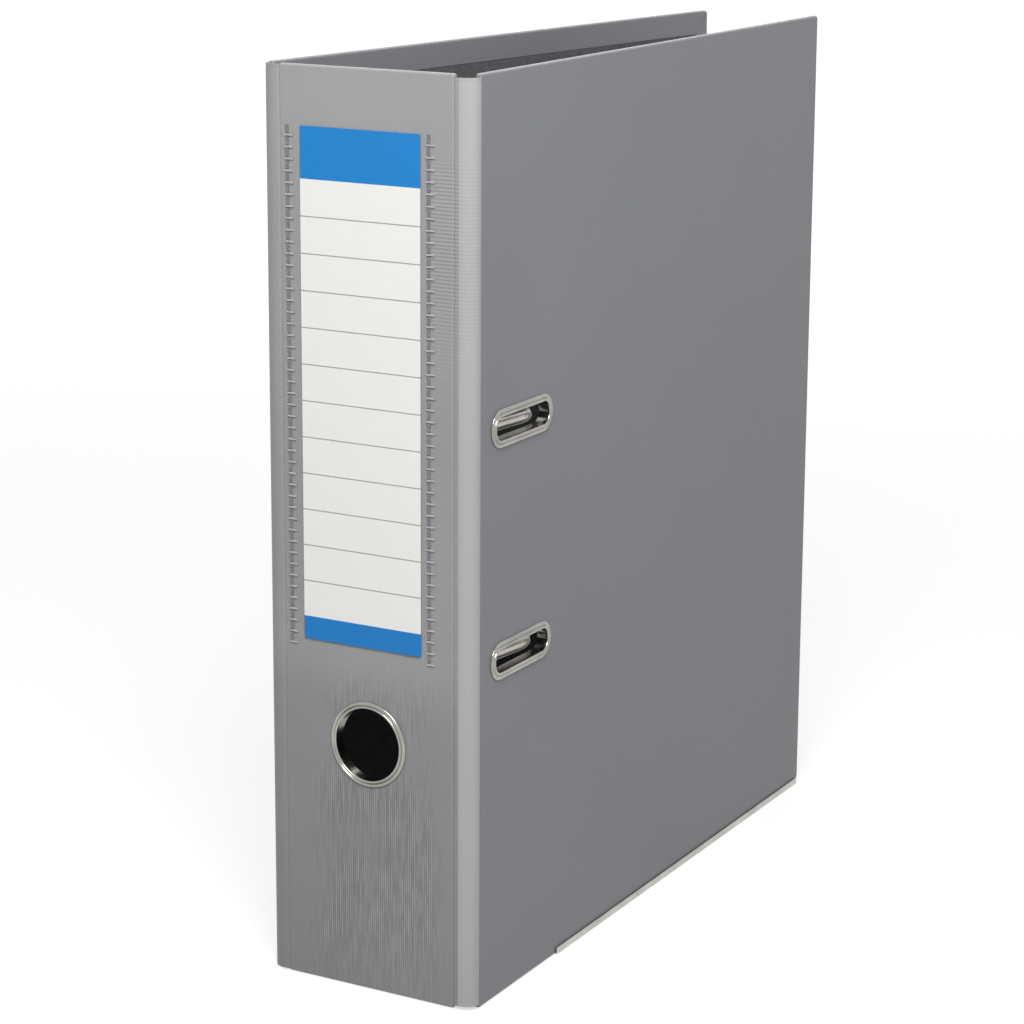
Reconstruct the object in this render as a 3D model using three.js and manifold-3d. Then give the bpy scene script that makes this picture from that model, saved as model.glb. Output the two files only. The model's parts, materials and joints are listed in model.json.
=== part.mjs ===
// A lever arch file for A4 paper, standing on its bottom edges and closed.
// Three foil-covered boards (two covers and a spine) are joined by two soft hinge strips.
// A lever arch mechanism is riveted to the inside of the rear cover.
// Millimetres. +Z is up, the spine faces -Y, the front cover is on +X and the rear cover on -X.
// Each cover has a group of its own, turned by its lean: Y runs along the cover from its
// spine-side edge, and X is square to it, with X = 0 on the outside face.

import * as THREE from "three";
import { mergeVertices } from "three/addons/utils/BufferGeometryUtils.js";
import Module from "manifold-3d";

const wasm = await Module();
wasm.setup();

// Case
const FILE_HEIGHT = 318;
const FILE_WIDTH = 83;
const COVER_LENGTH = 280.5;
const SPINE_BOARD_WIDTH = 68;
const FRONT_LEAN = THREE.MathUtils.degToRad(3.0);
const REAR_LEAN = THREE.MathUtils.degToRad(3.5);
const BOARD = 2.0;
const HEM_THICKNESS = 0.3;
const HEM_WIDTH = 9;
const MITRE_GAP = 0.4;
const LINING = 0.4;
const GAP = 0.3;
const CORNER_RADIUS = 3;
const HINGE_DEPTH = 4.8;
const HINGE_FLAT = 1.6;
const HINGE_FILM = 0.8;
const HINGE_SETBACK = 1.4;

// Slots in the front cover, with their pressed metal rings
const SLOT_CENTRE_HEIGHT = 160;
const ARCH_PITCH = 80;
const SLOT_START = 9.1;
const SLOT_LENGTH = 40;
const SLOT_HOLE = 9.4;
const RING_FLANGE = 1.9;
const RING_METAL = 0.5;
const RING_DISH = 0.2;
const RING_RISE = 0.35;
const RING_CROWN = 0.75;
const RING_CLINCH = 0.6;

// Finger hole in the spine
const FINGER_HEIGHT = 88.8;
const FINGER_HOLE = 25;
const FINGER_FLANGE = 2.6;

// Metal strips on the bottom edges of the covers
const STRIP_START = 57;
const STRIP_METAL = 0.5;
const STRIP_FLANGE = 2.4;

// Label and the clear pocket that is welded over it
const LABEL_WIDTH = 47;
const LABEL_HEIGHT = 175;
const LABEL_BOTTOM = 123;
const LABEL_CENTRE = -2;
const LABEL_CARD = 0.3;
const POCKET_FILM = 0.3;
const POCKET_SEAM_LEFT = 7.5;
const POCKET_SEAM_RIGHT = 6.0;
const POCKET_SEAM_BOTTOM = 3.5;

// Lever arch mechanism
const MECHANISM_HEIGHT = 158;
const PLATE_METAL = 1.0;
const PLATE_HALF_HEIGHT = 58;
const PLATE_EDGE = 6;
const PLATE_WAIST = 11;
const PLATE_CORNER = 4;
const WIRE_RADIUS = 2;
const WIRE_BEND = 5;
const SHAFT_OFFSET = 14;
const SHAFT_CLEARANCE = 0.7;
const POST_OFFSET = 57;
const POST_RADIUS = 2.1;
const POST_HEIGHT = 52;
const POST_FOOT_RADIUS = 3.6;
const POST_FOOT = 1.2;
const ARCH_BEND = 12;
const TIP_SLOPE = THREE.MathUtils.degToRad(55);
const TIP_RADIUS = 1.9;
const CRANK_REACH = 16;
const CRANK_HALF_WIDTH = 10;
const KNUCKLE_WALL = 1.0;
const KNUCKLE_LENGTH = 9;
const KNUCKLE_START = 18;
const LEVER_PIVOT_OFFSET = 44;
const LEVER_PIVOT_HEIGHT = 12;
const LEVER_METAL = 1.0;
const LEVER_WIDTH = 12;
const LEVER_REACH = 42;
const LEVER_TONGUE = 16;
const LEVER_TONGUE_WIDTH = 16;
const LEVER_SKIRT = 3;
const GRIP_INSET = 1.5;
const EAR_FOOT = 6.4;
const EYE_RADIUS = 4;
const ROLLER_RADIUS = 4;
const PIN_RADIUS = 1.4;
const PIN_HEAD_RADIUS = 2.4;
const PIN_HEAD = 0.8;
const CLAMP_METAL = 1.5;
const CLAMP_HALF_LENGTH = 50;
const CLAMP_WIDTH = 12;
const CLAMP_WAIST = 3;
const CLAMP_TAB = 9;
const CLAMP_REST = 4.2;
const RIVET_RADIUS = 2;
const RIVET_HEAD_RADIUS = 3.5;
const RIVET_HEAD = 0.8;
const RIVET_CROWN = 2.1;
const RIVET_ROLL = 2.8;
const RIVET_ROLL_TOP = 1.75;
const RIVET_HEIGHT = 51;
const RIVET_INSET = 9;

// Facets
const ROUND_STEPS = 32;
const WIRE_SIDES = 12;
const BEND_STEPS = 6;
const CURVE_STEPS = 6;
const WELD = 1e-4;

const foil = new THREE.MeshStandardMaterial({ color: 0x86878a, roughness: 0.5, metalness: 0 });
const hingeFoil = new THREE.MeshStandardMaterial({ color: 0xa4a5a6, roughness: 0.5, metalness: 0 });
const liningPaper = new THREE.MeshStandardMaterial({ color: 0x6c6c6f, roughness: 0.8, metalness: 0 });
const nickel = new THREE.MeshStandardMaterial({ color: 0xb9b7b0, roughness: 0.25, metalness: 1 });
const film = new THREE.MeshStandardMaterial({
    color: 0xe4e6e6, roughness: 0.15, metalness: 0, transparent: true, opacity: 0.3,
});
const card = new THREE.MeshStandardMaterial({ color: 0xeeeeea, roughness: 0.7, metalness: 0 });

const X = new THREE.Vector3(1, 0, 0);
const Y = new THREE.Vector3(0, 1, 0);
const Z = new THREE.Vector3(0, 0, 1);

// Turns a drawing in X and Y, with its thickness in Z, into the plane of a cover or of the spine.
const INTO_COVER = new THREE.Matrix4().makeBasis(Y, Z, X);
const INTO_SPINE = new THREE.Matrix4().makeBasis(X, Z, Y.clone().negate());

// Solids for joining and cutting
function toSolid(geometry) {
    const bare = geometry.clone();
    bare.deleteAttribute("normal");
    bare.deleteAttribute("uv");
    const merged = mergeVertices(bare, WELD);
    return new wasm.Manifold(new wasm.Mesh({
        numProp: 3,
        vertProperties: merged.attributes.position.array,
        triVerts: Uint32Array.from(merged.index.array),
    }));
}

function toGeometry(solid) {
    const mesh = solid.getMesh();
    const geometry = new THREE.BufferGeometry();
    geometry.setAttribute("position", new THREE.BufferAttribute(mesh.vertProperties, 3));
    geometry.setIndex(new THREE.BufferAttribute(mesh.triVerts, 1));
    const flat = geometry.toNonIndexed();
    flat.computeVertexNormals();
    return flat;
}

// One closed solid out of one or more overlapping ones.
const join = (first, ...others) =>
    toGeometry(others.reduce((sum, other) => sum.add(toSolid(other)), toSolid(first)));

const cut = (first, ...others) =>
    toGeometry(others.reduce((rest, other) => rest.subtract(toSolid(other)), toSolid(first)));

// Drawings
function rectangle(left, bottom, right, top) {
    return new THREE.Shape([
        new THREE.Vector2(left, bottom),
        new THREE.Vector2(right, bottom),
        new THREE.Vector2(right, top),
        new THREE.Vector2(left, top),
    ]);
}

function disc(x, y, radius, steps) {
    const points = Array.from({ length: steps }, (_, i) => {
        const turn = 2 * Math.PI * i / steps;
        return new THREE.Vector2(x + radius * Math.cos(turn), y + radius * Math.sin(turn));
    });
    return new THREE.Shape(points);
}

// A round hole whose flats, not its corners, lie at the radius.
function hole(x, y, radius, steps = ROUND_STEPS / 2) {
    return disc(x, y, radius / Math.cos(Math.PI / steps), steps);
}

function slot(x, y, length, height) {
    const radius = height / 2;
    const half = length / 2 - radius;
    return new THREE.Shape()
        .absarc(x + half, y, radius, -Math.PI / 2, Math.PI / 2, false)
        .absarc(x - half, y, radius, Math.PI / 2, 3 * Math.PI / 2, false);
}

// An outline whose corners are rounded to one radius.
function rounded(points, radius) {
    const shape = new THREE.Shape();
    points.forEach(([x, y], i) => {
        const here = new THREE.Vector2(x, y);
        const before = new THREE.Vector2(...points.at(i - 1)).sub(here).normalize();
        const after = new THREE.Vector2(...points[(i + 1) % points.length]).sub(here).normalize();
        const start = here.clone().addScaledVector(before, radius);
        const end = here.clone().addScaledVector(after, radius);
        if (i === 0) {
            shape.moveTo(start.x, start.y);
        } else {
            shape.lineTo(start.x, start.y);
        }
        shape.quadraticCurveTo(x, y, end.x, end.y);
    });
    return shape.closePath();
}

function withHoles(shape, holes) {
    shape.holes.push(...holes);
    return shape;
}

function extrude(shape, depth) {
    return new THREE.ExtrudeGeometry(shape, { depth, bevelEnabled: false, curveSegments: CURVE_STEPS });
}

// A drawing in the plane of a cover, between two depths below its outside face.
function acrossCover(shape, inward, from, to) {
    const geometry = extrude(shape, to - from).applyMatrix4(INTO_COVER);
    return geometry.translate(Math.min(inward * from, inward * to), 0, 0);
}

// A drawing in the plane of the spine, between two distances behind its outside face.
function acrossSpine(shape, from, to) {
    return extrude(shape, to - from).applyMatrix4(INTO_SPINE).translate(0, to, 0);
}

function turned(profile, axis, steps = ROUND_STEPS) {
    const points = profile.map(([radius, along]) => new THREE.Vector2(radius, along));
    const lathe = new THREE.LatheGeometry(points, steps);
    const turn = new THREE.Quaternion().setFromUnitVectors(Y, axis);
    return lathe.applyQuaternion(turn);
}

function mesh(name, geometry, material, x = 0, y = 0, z = 0) {
    const piece = new THREE.Mesh(join(geometry), material);
    piece.name = name;
    piece.position.set(x, y, z);
    return piece;
}

const STACK = BOARD + HEM_THICKNESS + LINING;
const SLOT_MIDDLE = SLOT_START + SLOT_LENGTH / 2;
const SLOT_HEIGHTS = [SLOT_CENTRE_HEIGHT + ARCH_PITCH / 2, SLOT_CENTRE_HEIGHT - ARCH_PITCH / 2];
const ARCH_HEIGHTS = [ARCH_PITCH / 2, -ARCH_PITCH / 2];
const RIVET_OFFSETS = [SHAFT_OFFSET + RIVET_INSET, POST_OFFSET - RIVET_INSET + PLATE_CORNER];
const RIVET_PLACES = RIVET_OFFSETS.flatMap((y) => [[y, RIVET_HEIGHT], [y, -RIVET_HEIGHT]]);

function coverOutline() {
    const lift = STRIP_METAL + GAP;
    const shape = new THREE.Shape();
    shape.moveTo(0, 0);
    shape.lineTo(STRIP_START, 0);
    shape.lineTo(STRIP_START, lift);
    shape.lineTo(COVER_LENGTH - CORNER_RADIUS, lift);
    shape.absarc(COVER_LENGTH - CORNER_RADIUS, lift + CORNER_RADIUS, CORNER_RADIUS, -Math.PI / 2, 0, false);
    shape.lineTo(COVER_LENGTH, FILE_HEIGHT);
    shape.lineTo(0, FILE_HEIGHT);
    return shape.closePath();
}

function slotHoles() {
    return SLOT_HEIGHTS.map((z) => slot(SLOT_MIDDLE, z, SLOT_LENGTH, SLOT_HOLE));
}

function rivetHoles() {
    return RIVET_PLACES.map(([y, z]) => hole(y, MECHANISM_HEIGHT + z, RIVET_RADIUS + GAP));
}

// The foil is turned in at the top, the bottom and the fore-edge, with a mitre at each corner.
function coverBoard(inward, holes) {
    const board = acrossCover(withHoles(coverOutline(), holes), inward, 0, BOARD + HEM_THICKNESS);
    const window = rectangle(-HEM_WIDTH, HEM_WIDTH, COVER_LENGTH - HEM_WIDTH, FILE_HEIGHT - HEM_WIDTH);
    const recess = acrossCover(window, inward, BOARD, 2 * BOARD);
    const mitres = [[0, 3], [FILE_HEIGHT, 5]].map(([z, turn]) => {
        const groove = rectangle(-HEM_WIDTH, -MITRE_GAP / 2, 2 * HEM_WIDTH, MITRE_GAP / 2);
        const bar = acrossCover(groove, inward, BOARD, 2 * BOARD).rotateX(turn * Math.PI / 4);
        return bar.translate(0, COVER_LENGTH, z);
    });
    return cut(board, recess, ...mitres);
}

function coverLining(inward, holes) {
    const edge = HEM_WIDTH + GAP;
    const sheet = rectangle(GAP, edge, COVER_LENGTH - edge, FILE_HEIGHT - edge);
    return acrossCover(withHoles(sheet, holes), inward, BOARD + HEM_THICKNESS, STACK);
}

function edgeStrip(inward) {
    const outside = -inward * (GAP + STRIP_METAL);
    const inside = inward * (BOARD + HEM_THICKNESS + GAP + STRIP_METAL);
    const low = Math.min(outside, inside);
    const high = Math.max(outside, inside);
    const section = new THREE.Shape([
        new THREE.Vector2(low, 0),
        new THREE.Vector2(high, 0),
        new THREE.Vector2(high, STRIP_FLANGE),
        new THREE.Vector2(high - STRIP_METAL, STRIP_FLANGE),
        new THREE.Vector2(high - STRIP_METAL, STRIP_METAL),
        new THREE.Vector2(low + STRIP_METAL, STRIP_METAL),
        new THREE.Vector2(low + STRIP_METAL, STRIP_FLANGE),
        new THREE.Vector2(low, STRIP_FLANGE),
    ]);
    const end = COVER_LENGTH - CORNER_RADIUS;
    const length = end - STRIP_START - GAP;
    return extrude(section, length).applyMatrix4(INTO_SPINE).translate(0, end, 0);
}

// Rings: a dished flange outside, a short barrel, and a narrower flange clinched inside.
function ringProfile(hole, flange, through) {
    const outer = hole + flange;
    const clinched = hole + RING_CLINCH * flange;
    return [
        [hole, GAP - RING_METAL],
        [hole + RING_RISE * flange, GAP + RING_DISH],
        [hole + RING_CROWN * flange, GAP + RING_METAL + RING_DISH],
        [outer, GAP + RING_METAL],
        [outer, GAP],
        [hole + RING_METAL, GAP],
        [hole + RING_METAL, -through - GAP],
        [clinched, -through - GAP],
        [clinched, -through - GAP - RING_METAL],
        [hole, -through - GAP - RING_METAL],
        [hole, GAP - RING_METAL],
    ].reverse();
}

// A round ring drawn out along Y into a slot: its two halves move apart.
function slotRing() {
    const half = (SLOT_LENGTH - SLOT_HOLE) / 2;
    const profile = ringProfile(SLOT_HOLE / 2 - GAP - RING_METAL, RING_FLANGE + GAP + RING_METAL, STACK);
    const points = profile.map(([radius, along]) => new THREE.Vector2(radius, along));
    const lathe = new THREE.LatheGeometry(points, ROUND_STEPS, Math.PI / ROUND_STEPS);
    const places = lathe.attributes.position;
    for (let i = 0; i < places.count; i += 1) {
        places.setX(i, places.getX(i) + half * Math.sign(places.getX(i)));
    }
    return lathe.applyMatrix4(new THREE.Matrix4().makeBasis(Y, X, Z.clone().negate()));
}

function fingerRing() {
    const profile = ringProfile(FINGER_HOLE / 2, FINGER_FLANGE, STACK);
    return turned(profile, Y.clone().negate());
}

// Hinge strips: soft film that curves round each long corner of the case.
function hingeStrip(side) {
    const inner = SPINE_BOARD_WIDTH / 2 + GAP;
    const middle = inner + HINGE_FLAT;
    const reachX = FILE_WIDTH / 2 - middle;
    const reachY = HINGE_DEPTH - GAP;
    const outline = new THREE.Shape();
    outline.moveTo(inner, 0);
    outline.lineTo(middle, 0);
    outline.absellipse(middle, reachY, reachX, reachY, -Math.PI / 2, 0, false, 0);
    outline.lineTo(middle + reachX - HINGE_FILM, reachY);
    const inside = new THREE.Path();
    inside.absellipse(middle, reachY, reachX - HINGE_FILM, reachY - HINGE_FILM, 0, -Math.PI / 2, true, 0);
    inside.getPoints(CURVE_STEPS).forEach((point) => outline.lineTo(point.x, point.y));
    outline.lineTo(inner, HINGE_FILM);
    const points = outline.closePath().getPoints(CURVE_STEPS);
    const placed = new THREE.Shape(points.map((point) => new THREE.Vector2(side * point.x, point.y)));
    return extrude(placed, FILE_HEIGHT - 2 * HINGE_SETBACK);
}

// Spine
const fingerOpening = () => hole(0, FINGER_HEIGHT, FINGER_HOLE / 2 + RING_METAL + GAP, ROUND_STEPS);

function spineBoard() {
    const half = SPINE_BOARD_WIDTH / 2;
    const outline = withHoles(rectangle(-half, 0, half, FILE_HEIGHT), [fingerOpening()]);
    const window = rectangle(-2 * half, HEM_WIDTH, 2 * half, FILE_HEIGHT - HEM_WIDTH);
    return cut(acrossSpine(outline, 0, BOARD + HEM_THICKNESS), acrossSpine(window, BOARD, 2 * BOARD));
}

function spineLining() {
    const half = SPINE_BOARD_WIDTH / 2;
    const edge = HEM_WIDTH + GAP;
    const sheet = rectangle(-half, edge, half, FILE_HEIGHT - edge);
    return acrossSpine(withHoles(sheet, [fingerOpening()]), BOARD + HEM_THICKNESS, STACK);
}

const LABEL_LEFT = LABEL_CENTRE - LABEL_WIDTH / 2;
const LABEL_RIGHT = LABEL_CENTRE + LABEL_WIDTH / 2;
const LABEL_TOP = LABEL_BOTTOM + LABEL_HEIGHT;

function labelCard() {
    const sheet = rectangle(LABEL_LEFT, LABEL_BOTTOM, LABEL_RIGHT, LABEL_TOP);
    return acrossSpine(sheet, -GAP - LABEL_CARD, -GAP);
}

// The pocket is open at the top, and welded down at its sides and bottom.
function labelPocket() {
    const left = LABEL_LEFT - POCKET_SEAM_LEFT;
    const right = LABEL_RIGHT + POCKET_SEAM_RIGHT;
    const bottom = LABEL_BOTTOM - POCKET_SEAM_BOTTOM;
    const front = -2 * GAP - LABEL_CARD - POCKET_FILM;
    const sheet = acrossSpine(rectangle(left, bottom, right, LABEL_TOP), front, -GAP);
    const space = rectangle(LABEL_LEFT - GAP, LABEL_BOTTOM - GAP, LABEL_RIGHT + GAP, LABEL_TOP + GAP);
    return cut(sheet, acrossSpine(space, front + POCKET_FILM, 0));
}

// Mechanism: heights are above the lining, offsets run along the cover from its spine-side edge.
const PLATE_TOP = GAP + PLATE_METAL;
const SHAFT_HEIGHT = PLATE_TOP + SHAFT_CLEARANCE + WIRE_RADIUS;
const RING_DEPTH = STACK + GAP + RING_METAL;
const LEANS = FRONT_LEAN + REAR_LEAN;
const TOP_OFFSET = POST_OFFSET - ARCH_BEND + WIRE_RADIUS;
const COVER_GAP = (FILE_WIDTH - RING_DEPTH - STACK) * Math.cos(LEANS) - TOP_OFFSET * Math.tan(LEANS);
const ARCH_TOP = COVER_GAP - GAP - 2 * WIRE_RADIUS;
const TIP_DROP = WIRE_RADIUS / Math.tan(TIP_SLOPE);
const LEVER_ROLLER_OFFSET = SHAFT_OFFSET + CRANK_REACH;
const ROLLER_HEIGHT = SHAFT_HEIGHT + WIRE_RADIUS + ROLLER_RADIUS + GAP;

// A wire bent through given corners, sampled only where it bends.
class BentWire extends THREE.Curve {
    constructor(corners, bends) {
        super();
        this.stations = [];
        this.directions = [];
        corners.forEach((corner, i) => this.addCorner(corners, corner, i, bends[i]));
    }

    addCorner(corners, corner, i, bend) {
        const before = i > 0 ? corner.clone().sub(corners[i - 1]).normalize() : null;
        const after = i < corners.length - 1 ? corners[i + 1].clone().sub(corner).normalize() : null;
        if (!before || !after) {
            this.stations.push(corner);
            this.directions.push(before ?? after);
            return;
        }
        const angle = before.angleTo(after);
        const setback = bend * Math.tan(angle / 2);
        const start = corner.clone().addScaledVector(before, -setback);
        const side = after.clone().addScaledVector(before, -after.dot(before)).normalize();
        const centre = start.clone().addScaledVector(side, bend);
        for (let k = 0; k <= BEND_STEPS; k += 1) {
            const turn = angle * k / BEND_STEPS;
            const station = centre.clone().addScaledVector(side, -bend * Math.cos(turn));
            this.stations.push(station.addScaledVector(before, bend * Math.sin(turn)));
            const direction = before.clone().multiplyScalar(Math.cos(turn));
            this.directions.push(direction.addScaledVector(side, Math.sin(turn)));
        }
    }

    getPointAt(u) {
        return this.stations[Math.round(u * (this.stations.length - 1))];
    }

    getTangentAt(u) {
        return this.directions[Math.round(u * (this.stations.length - 1))];
    }
}

// The two arches, their shaft and the crank between them are one bent wire.
function archWire() {
    const tip = POST_HEIGHT + GAP + PIN_HEAD - SHAFT_HEIGHT;
    const top = ARCH_TOP + WIRE_RADIUS - SHAFT_HEIGHT;
    const span = POST_OFFSET - SHAFT_OFFSET;
    const arch = [[tip, span], [top, span], [top, 0], [0, 0]];
    const crank = [[0, 0], [0, CRANK_REACH]];
    const upper = arch.map(([x, y]) => new THREE.Vector3(x, y, ARCH_HEIGHTS[0]));
    const lower = arch.map(([x, y]) => new THREE.Vector3(x, y, ARCH_HEIGHTS[1])).reverse();
    const crankUpper = crank.map(([x, y]) => new THREE.Vector3(x, y, CRANK_HALF_WIDTH));
    const crankLower = crank.map(([x, y]) => new THREE.Vector3(x, y, -CRANK_HALF_WIDTH)).reverse();
    const corners = [...upper, ...crankUpper, ...crankLower, ...lower];
    const archBends = [0, ARCH_BEND, ARCH_BEND, WIRE_BEND];
    const crankBends = [WIRE_BEND, WIRE_BEND];
    const bends = [...archBends, ...crankBends, ...crankBends, ...archBends.toReversed()];
    const path = new BentWire(corners, bends);
    const section = disc(0, 0, WIRE_RADIUS, WIRE_SIDES);
    const wire = new THREE.ExtrudeGeometry(section, { extrudePath: path, steps: path.stations.length - 1 });
    const point = [[0, 0], [TIP_RADIUS, TIP_DROP], [TIP_RADIUS, 2 * TIP_DROP], [0, 2 * TIP_DROP]];
    const points = ARCH_HEIGHTS.map((z) => turned(point, X, WIRE_SIDES).translate(tip - TIP_DROP, span, z));
    return join(wire, ...points);
}

function post() {
    const cup = POST_RADIUS / Math.tan(TIP_SLOPE);
    const profile = [
        [0, 0],
        [POST_FOOT_RADIUS, 0],
        [POST_FOOT_RADIUS, POST_FOOT / 2],
        [POST_RADIUS, POST_FOOT],
        [POST_RADIUS, POST_HEIGHT - PLATE_TOP - GAP],
        [0, POST_HEIGHT - PLATE_TOP - GAP - cup],
    ];
    return turned(profile, X, ROUND_STEPS / 2);
}

// Base plate, with the knuckles that hold the shaft and the ears that hold the lever's pin.
function basePlate() {
    const left = SHAFT_OFFSET - PLATE_EDGE;
    const right = POST_OFFSET + PLATE_EDGE;
    const waist = right - PLATE_WAIST;
    const half = PLATE_HALF_HEIGHT;
    const shoulder = half - 2 * PLATE_EDGE - PLATE_WAIST;
    const outline = rounded([
        [left, -half],
        [right, -half],
        [right, -shoulder],
        [waist, -shoulder + PLATE_WAIST],
        [waist, shoulder - PLATE_WAIST],
        [right, shoulder],
        [right, half],
        [left, half],
    ], PLATE_CORNER);
    const holes = RIVET_PLACES.map(([y, z]) => hole(y, z, RIVET_RADIUS + GAP));
    const plate = acrossCover(withHoles(outline, holes), 1, GAP, PLATE_TOP);
    const starts = [KNUCKLE_START, -KNUCKLE_START - KNUCKLE_LENGTH];
    const knuckles = starts.map((z) => knuckle().translate(0, 0, z));
    const inside = LEVER_WIDTH / 2 + GAP;
    const ears = [inside, -inside - LEVER_METAL].map((z) => ear().translate(0, 0, z));
    return join(plate, ...knuckles, ...ears, ...plateRibs());
}

function knuckle() {
    const bore = WIRE_RADIUS + GAP;
    const outer = bore + KNUCKLE_WALL;
    const low = PLATE_TOP - GAP;
    const outline = new THREE.Shape();
    outline.moveTo(low, SHAFT_OFFSET - outer);
    outline.lineTo(SHAFT_HEIGHT, SHAFT_OFFSET - outer);
    outline.absarc(SHAFT_HEIGHT, SHAFT_OFFSET, outer, -Math.PI / 2, Math.PI / 2, false);
    outline.lineTo(low, SHAFT_OFFSET + outer);
    outline.closePath();
    return extrude(withHoles(outline, [hole(SHAFT_HEIGHT, SHAFT_OFFSET, bore)]), KNUCKLE_LENGTH);
}

function ear() {
    const low = PLATE_TOP - GAP;
    const outline = new THREE.Shape();
    outline.moveTo(low, LEVER_PIVOT_OFFSET - EAR_FOOT);
    outline.lineTo(LEVER_PIVOT_HEIGHT, LEVER_PIVOT_OFFSET - EYE_RADIUS);
    outline.absarc(LEVER_PIVOT_HEIGHT, LEVER_PIVOT_OFFSET, EYE_RADIUS, -Math.PI / 2, Math.PI / 2, false);
    outline.lineTo(low, LEVER_PIVOT_OFFSET + EYE_RADIUS);
    outline.closePath();
    const eye = hole(LEVER_PIVOT_HEIGHT, LEVER_PIVOT_OFFSET, PIN_RADIUS + GAP);
    return extrude(withHoles(outline, [eye]), LEVER_METAL);
}

function plateRibs() {
    const middle = (SHAFT_OFFSET + POST_OFFSET) / 2;
    const height = (PLATE_HALF_HEIGHT + KNUCKLE_START) / 2;
    const drawing = slot(middle, height, POST_OFFSET - SHAFT_OFFSET - 2 * RIVET_INSET, 2 * PLATE_CORNER);
    const rib = acrossCover(drawing, 1, PLATE_TOP - GAP, PLATE_TOP + PLATE_METAL);
    return [rib, rib.clone().translate(0, 0, -2 * height)];
}

// The lever is a pressed channel with a flat tongue. Its origin is its pivot, and it lies closed.
function lever() {
    const roller = LEVER_PIVOT_OFFSET - LEVER_ROLLER_OFFSET;
    const drop = ROLLER_HEIGHT - LEVER_PIVOT_HEIGHT;
    const top = EYE_RADIUS;
    const nose = LEVER_REACH - LEVER_TONGUE;
    const side = new THREE.Shape();
    side.moveTo(top, EYE_RADIUS / 2);
    side.lineTo(0, EYE_RADIUS);
    side.lineTo(-EYE_RADIUS, 0);
    side.lineTo(drop - LEVER_SKIRT, -roller + ROLLER_RADIUS);
    side.lineTo(drop - LEVER_SKIRT, -roller - ROLLER_RADIUS);
    side.lineTo(top - 2 * LEVER_METAL, -nose);
    side.lineTo(top, -nose);
    side.closePath();
    const holes = [hole(0, 0, PIN_RADIUS + GAP), hole(drop, -roller, PIN_RADIUS + GAP)];
    const body = extrude(withHoles(side, holes), LEVER_WIDTH).translate(0, 0, -LEVER_WIDTH / 2);
    const inner = LEVER_WIDTH - 2 * LEVER_METAL;
    const hollow = rectangle(-2 * LEVER_WIDTH, -2 * LEVER_REACH, top - LEVER_METAL, LEVER_REACH);
    const space = extrude(hollow, inner).translate(0, 0, -inner / 2);
    const reach = -LEVER_REACH;
    const half = LEVER_WIDTH / 2 - LEVER_METAL / 2;
    const wide = LEVER_TONGUE_WIDTH / 2;
    const plan = rounded([
        [reach, -wide],
        [reach + LEVER_TONGUE / 2, -wide],
        [-nose + LEVER_METAL, -half],
        [-nose + LEVER_METAL, half],
        [reach + LEVER_TONGUE / 2, wide],
        [reach, wide],
    ], LEVER_METAL);
    const tongue = acrossCover(plan, 1, top - LEVER_METAL, top);
    const lip = LEVER_METAL / 4;
    const curl = rectangle(reach + lip, GRIP_INSET - wide, reach + GRIP_INSET, wide - GRIP_INSET);
    const grip = acrossCover(curl, 1, top - LEVER_METAL / 2, top + 2 * LEVER_METAL);
    return join(cut(body, space), tongue, grip);
}

function roller() {
    const half = LEVER_WIDTH / 2 - LEVER_METAL - GAP;
    const bore = PIN_RADIUS + GAP;
    return turned([
        [bore, -half],
        [ROLLER_RADIUS, -half],
        [ROLLER_RADIUS, half],
        [bore, half],
        [bore, -half],
    ], Z);
}

function headedPin(half) {
    return turned([
        [0, -half - PIN_HEAD],
        [PIN_HEAD_RADIUS, -half - PIN_HEAD],
        [PIN_HEAD_RADIUS, -half],
        [PIN_RADIUS, -half],
        [PIN_RADIUS, half],
        [PIN_HEAD_RADIUS, half],
        [PIN_HEAD_RADIUS, half + PIN_HEAD],
        [0, half + PIN_HEAD],
    ], Z, ROUND_STEPS / 2);
}

// The paper clamp slides on the posts. Its origin lies on the lining, midway between them.
function clampBar() {
    const half = CLAMP_WIDTH / 2;
    const length = CLAMP_HALF_LENGTH;
    const waist = ARCH_PITCH / 4;
    const outline = rounded([
        [-half, -length],
        [half, -length],
        [half, length],
        [-half, length],
        [-half, waist + CLAMP_WAIST],
        [-half + CLAMP_WAIST, waist],
        [-half + CLAMP_WAIST, -waist],
        [-half, -waist - CLAMP_WAIST],
    ], CLAMP_METAL);
    const holes = ARCH_HEIGHTS.map((z) => hole(0, z, POST_RADIUS + 2 * GAP));
    const bar = acrossCover(withHoles(outline, holes), 1, CLAMP_REST, CLAMP_REST + CLAMP_METAL);
    const tab = rectangle(half - CLAMP_METAL, -CLAMP_TAB, half, CLAMP_TAB);
    return join(bar, acrossCover(tab, 1, CLAMP_REST + CLAMP_METAL / 2, CLAMP_REST + CLAMP_TAB));
}

// A rivet holds plate, lining and rear cover together, with its head on the cover's outside.
function rivet() {
    const outside = -GAP;
    const inside = STACK + PLATE_TOP + GAP;
    return turned([
        [0, outside - RIVET_HEAD],
        [RIVET_CROWN, outside - RIVET_HEAD],
        [RIVET_HEAD_RADIUS, outside],
        [RIVET_RADIUS, outside],
        [RIVET_RADIUS, inside],
        [RIVET_ROLL, inside],
        [RIVET_ROLL_TOP, inside + RIVET_HEAD],
        [0, inside + RIVET_HEAD],
    ], X, ROUND_STEPS / 2);
}

// Assembly
const binder = new THREE.Group();

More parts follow.
